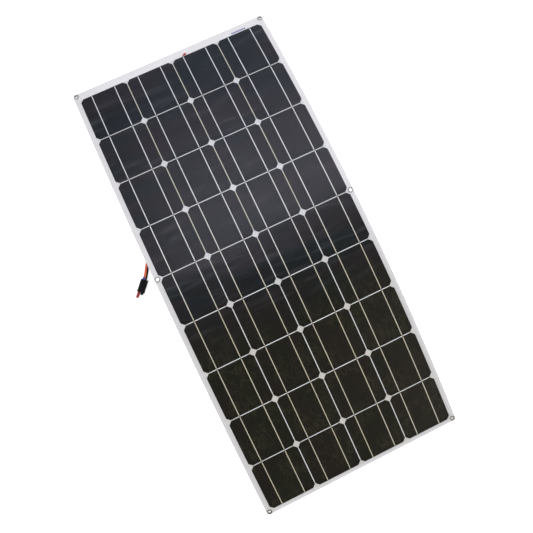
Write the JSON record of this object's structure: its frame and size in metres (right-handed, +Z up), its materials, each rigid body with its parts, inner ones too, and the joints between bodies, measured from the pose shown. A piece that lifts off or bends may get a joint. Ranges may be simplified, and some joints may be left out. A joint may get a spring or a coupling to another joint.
{
  "type": "flexible solar sheet",
  "caption": "Bendable rectangular solar laminate with dark cells, white margin and eyelets, a flat rear connection box and a two-core lead with a plug.",
  "frame": {"origin": "On the floor, below the middle of the sheet, which stands on its two short ends in a shallow arch.", "axes": "X across the sheet, Y along it towards the end shown at the top of the picture, Z up."},
  "size_m": [0.5997, 1.1638, 0.0725],
  "materials": {
    "white_laminate": "satin white glass-fibre laminate",
    "silicon": "dark anti-reflection coat on monocrystalline silicon",
    "tinned_ribbon": "bright tin",
    "clear_film": "clear, glossy, lightly embossed",
    "nickel_plate": "bright nickel plate over brass",
    "bonding_silicone": "matt pale silicone",
    "box_plastic": "fine moulded grain",
    "black_rubber": "matt",
    "screw_steel": "zinc plated",
    "copper": "tinned copper foil",
    "brass_block": "machined brass",
    "diode_plastic": "moulded epoxy",
    "lead_sheath": "satin PVC, one red core and one black core",
    "plug_rubber": "matt moulded",
    "contact_brass": "bright",
    "red_vinyl": "soft satin vinyl",
    "blue_seal": "satin"
  },
  "bodies": {
    "row_1": {"back_board_1": "white_laminate", "cells_1": "silicon", "ribbons_1": "tinned_ribbon", "front_film_1": "clear_film", "bus_ribbon_top": "tinned_ribbon", "eyelets_top": "nickel_plate", "eyelet_washers_top": "nickel_plate"},
    "row_2": {"back_board_2": "white_laminate", "cells_2": "silicon", "ribbons_2": "tinned_ribbon", "front_film_2": "clear_film"},
    "row_3": {"back_board_3": "white_laminate", "cells_3": "silicon", "ribbons_3": "tinned_ribbon", "front_film_3": "clear_film"},
    "row_4": {"back_board_4": "white_laminate", "cells_4": "silicon", "ribbons_4": "tinned_ribbon", "front_film_4": "clear_film"},
    "row_5": {"back_board_5": "white_laminate", "cells_5": "silicon", "ribbons_5": "tinned_ribbon", "front_film_5": "clear_film", "eyelets_middle": "nickel_plate", "eyelet_washers_middle": "nickel_plate", "box_pad": "bonding_silicone", "box_base": "box_plastic", "box_gasket": "black_rubber", "box_lid": "box_plastic", "box_screws": "screw_steel", "lead_out_tails": "copper", "terminals": "brass_block", "bypass_diodes": "diode_plastic", "lead_gland": "black_rubber", "lead_drop": "lead_sheath", "lead_coil": "lead_sheath", "lead_run": "lead_sheath", "plug_housing": "plug_rubber", "plug_contacts": "contact_brass", "wire_seal": "blue_seal"},
    "row_6": {"back_board_6": "white_laminate", "cells_6": "silicon", "ribbons_6": "tinned_ribbon", "front_film_6": "clear_film"},
    "row_7": {"back_board_7": "white_laminate", "cells_7": "silicon", "ribbons_7": "tinned_ribbon", "front_film_7": "clear_film"},
    "row_8": {"back_board_8": "white_laminate", "cells_8": "silicon", "ribbons_8": "tinned_ribbon", "front_film_8": "clear_film"},
    "row_9": {"back_board_9": "white_laminate", "cells_9": "silicon", "ribbons_9": "tinned_ribbon", "front_film_9": "clear_film", "bus_ribbon_bottom": "tinned_ribbon", "eyelets_bottom": "nickel_plate", "eyelet_washers_bottom": "nickel_plate"},
    "cap": {"plug_cap": "red_vinyl"}
  },
  "joints": [
    {"name": "sheet_bend", "type": "hinge", "parent": "row_5", "child": "row_4", "pos_m": [0, 0.05799, 0.06998], "axis": [-1, 0, 0], "range_deg": [-2.9, 2.9], "stiffness_Nm_per_rad": 150, "springref_deg": 0.86},
    {"name": "bend_4_3", "type": "hinge", "parent": "row_4", "child": "row_3", "pos_m": [0, 0.18483, 0.06381], "axis": [-1, 0, 0], "range_deg": [-2.9, 2.9], "stiffness_Nm_per_rad": 150, "springref_deg": 0.86},
    {"name": "bend_3_2", "type": "hinge", "parent": "row_3", "child": "row_2", "pos_m": [0, 0.31119, 0.05121], "axis": [-1, 0, 0], "range_deg": [-2.9, 2.9], "stiffness_Nm_per_rad": 150, "springref_deg": 0.86},
    {"name": "bend_2_1", "type": "hinge", "parent": "row_2", "child": "row_1", "pos_m": [0, 0.43675, 0.03221], "axis": [-1, 0, 0], "range_deg": [-2.9, 2.9], "stiffness_Nm_per_rad": 150, "springref_deg": 0.86},
    {"name": "bend_5_6", "type": "hinge", "parent": "row_5", "child": "row_6", "pos_m": [0, -0.06899, 0.0697], "axis": [1, 0, 0], "range_deg": [-2.9, 2.9], "stiffness_Nm_per_rad": 150, "springref_deg": 0.86},
    {"name": "bend_6_7", "type": "hinge", "parent": "row_6", "child": "row_7", "pos_m": [0, -0.1958, 0.06297], "axis": [1, 0, 0], "range_deg": [-2.9, 2.9], "stiffness_Nm_per_rad": 150, "springref_deg": 0.86},
    {"name": "bend_7_8", "type": "hinge", "parent": "row_7", "child": "row_8", "pos_m": [0, -0.3221, 0.04982], "axis": [1, 0, 0], "range_deg": [-2.9, 2.9], "stiffness_Nm_per_rad": 150, "springref_deg": 0.86},
    {"name": "bend_8_9", "type": "hinge", "parent": "row_8", "child": "row_9", "pos_m": [0, -0.44757, 0.03026], "axis": [1, 0, 0], "range_deg": [-2.9, 2.9], "stiffness_Nm_per_rad": 150, "springref_deg": 0.86},
    {"name": "cap_pull", "type": "slide", "parent": "row_5", "child": "cap", "axis": [-0.6756, -0.7373, 0], "range_m": [0, 0.02]}
  ],
  "couplings": [
    {"joint": "bend_4_3", "follows": "sheet_bend", "ratio": 1},
    {"joint": "bend_3_2", "follows": "sheet_bend", "ratio": 1},
    {"joint": "bend_2_1", "follows": "sheet_bend", "ratio": 1},
    {"joint": "bend_5_6", "follows": "sheet_bend", "ratio": 1},
    {"joint": "bend_6_7", "follows": "sheet_bend", "ratio": 1},
    {"joint": "bend_7_8", "follows": "sheet_bend", "ratio": 1},
    {"joint": "bend_8_9", "follows": "sheet_bend", "ratio": 1}
  ]
}
